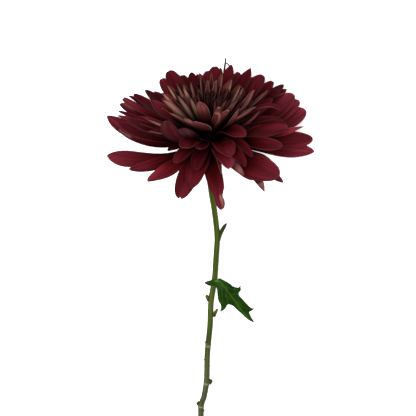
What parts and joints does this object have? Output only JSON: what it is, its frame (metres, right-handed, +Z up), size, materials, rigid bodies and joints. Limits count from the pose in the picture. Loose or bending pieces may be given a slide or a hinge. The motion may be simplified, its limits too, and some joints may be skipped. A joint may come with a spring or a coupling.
{
  "type": "disbud chrysanthemum",
  "caption": "Cut disbud chrysanthemum laid on its side: one large burgundy bloom with a paler tan centre, a short green stem with bud stubs, and one lobed leaf.",
  "frame": {"origin": "on the table at the middle of the flower's footprint", "axes": "+Z up from the table, +Y along the flower from the cut end of the stem to the bloom, +X to the right of a viewer who stands at the cut end"},
  "size_m": [0.1379, 0.2603, 0.0952],
  "materials": {
    "burgundy_florets": "velvety burgundy petal, dusty rose on the reverse",
    "pale_florets": "matt tan to olive reverse with burgundy edges",
    "bract_green": "dull green with thin papery edges",
    "stem_green": "ribbed, satin green stem",
    "leaf_green": "matt dark green leaf with paler veins"
  },
  "bodies": {
    "root": {"outer_florets": "burgundy_florets", "inner_florets": "pale_florets", "involucre": "bract_green", "stem": "stem_green", "leaf": "leaf_green"}
  },
  "joints": []
}
